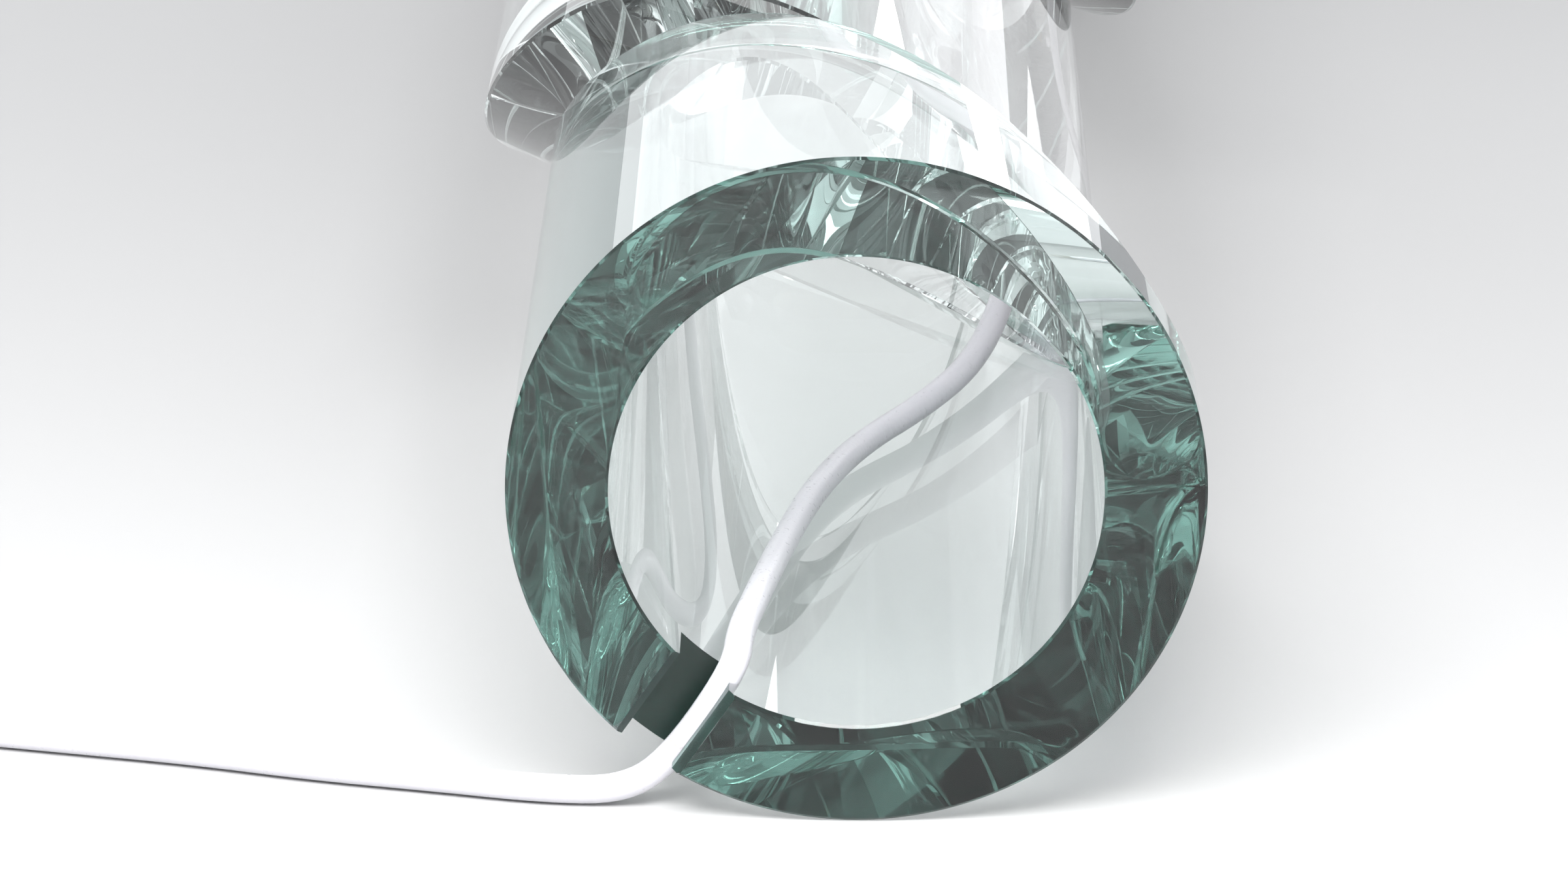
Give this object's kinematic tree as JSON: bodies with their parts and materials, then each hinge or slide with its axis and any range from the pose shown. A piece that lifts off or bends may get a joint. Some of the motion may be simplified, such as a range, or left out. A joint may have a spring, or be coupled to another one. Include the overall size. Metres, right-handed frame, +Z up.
{
  "type": "pole light",
  "caption": "Pole light of heavy clear glass tubes bonded at long raked joints, with a lamp in the capped top end and a mains cord through a notch in the base.",
  "frame": {"origin": "on the ground under the middle of the pole's own box, the pole lying on its side", "axes": "+Y along the pole from the notched base end to the capped top end, +Z up"},
  "size_m": [0.4095, 0.852, 0.15],
  "materials": {
    "glass": "clear, polished, faintly green in depth",
    "cap_metal": "fine turned satin",
    "silicone": "matte translucent white",
    "zinc_steel": "zinc plated",
    "brass": "plain brass",
    "porcelain": "glazed",
    "lamp_white": "smooth white",
    "lamp_diffuser": "frosted, translucent",
    "lamp_nickel": "nickel plated",
    "insulator_black": "vitreous black",
    "board_white": "white solder mask",
    "emitter_yellow": "phosphor",
    "lead_black": "smooth insulation",
    "lead_white": "smooth insulation",
    "lead_green": "smooth insulation",
    "cord_white": "soft glossy jacket"
  },
  "bodies": {
    "root": {"glass_base_segment": "glass", "glass_middle_segment": "glass", "glass_top_segment": "glass", "cap_gasket": "silicone", "top_cap": "cap_metal", "spigot_ring": "silicone", "nipple": "zinc_steel", "knob_washer": "zinc_steel", "nipple_nut": "zinc_steel", "holder_cap": "brass", "holder_body": "porcelain", "screw_shell": "brass", "centre_contact": "brass", "terminal_screws": "brass", "anchor_bracket": "zinc_steel", "anchor_screws": "zinc_steel", "cord_bushing": "cord_white", "earth_screw": "zinc_steel", "earth_lug": "brass", "live_lead": "lead_black", "neutral_lead": "lead_white", "earth_lead": "lead_green", "cord": "cord_white", "cord_coil": "cord_white", "cord_tail": "cord_white", "plug_relief": "cord_white", "plug_body": "cord_white", "plug_blades": "brass", "plug_ground_pin": "brass"},
    "lamp": {"lamp_housing": "lamp_white", "lamp_diffuser": "lamp_diffuser", "lamp_board": "board_white", "lamp_emitters": "emitter_yellow", "lamp_screw_base": "lamp_nickel", "lamp_base_insulator": "insulator_black", "lamp_tip_contact": "brass"},
    "knob": {"top_knob": "cap_metal"}
  },
  "joints": [
    {"name": "lamp_unscrew", "type": "slide", "parent": "root", "child": "lamp", "axis": [0, -1, 0], "range_m": [0, 0.026]},
    {"name": "knob_turn", "type": "hinge", "parent": "root", "child": "knob", "pos_m": [0.00925, 0.416, 0.075], "axis": [0, 1, 0], "continuous": true}
  ]
}
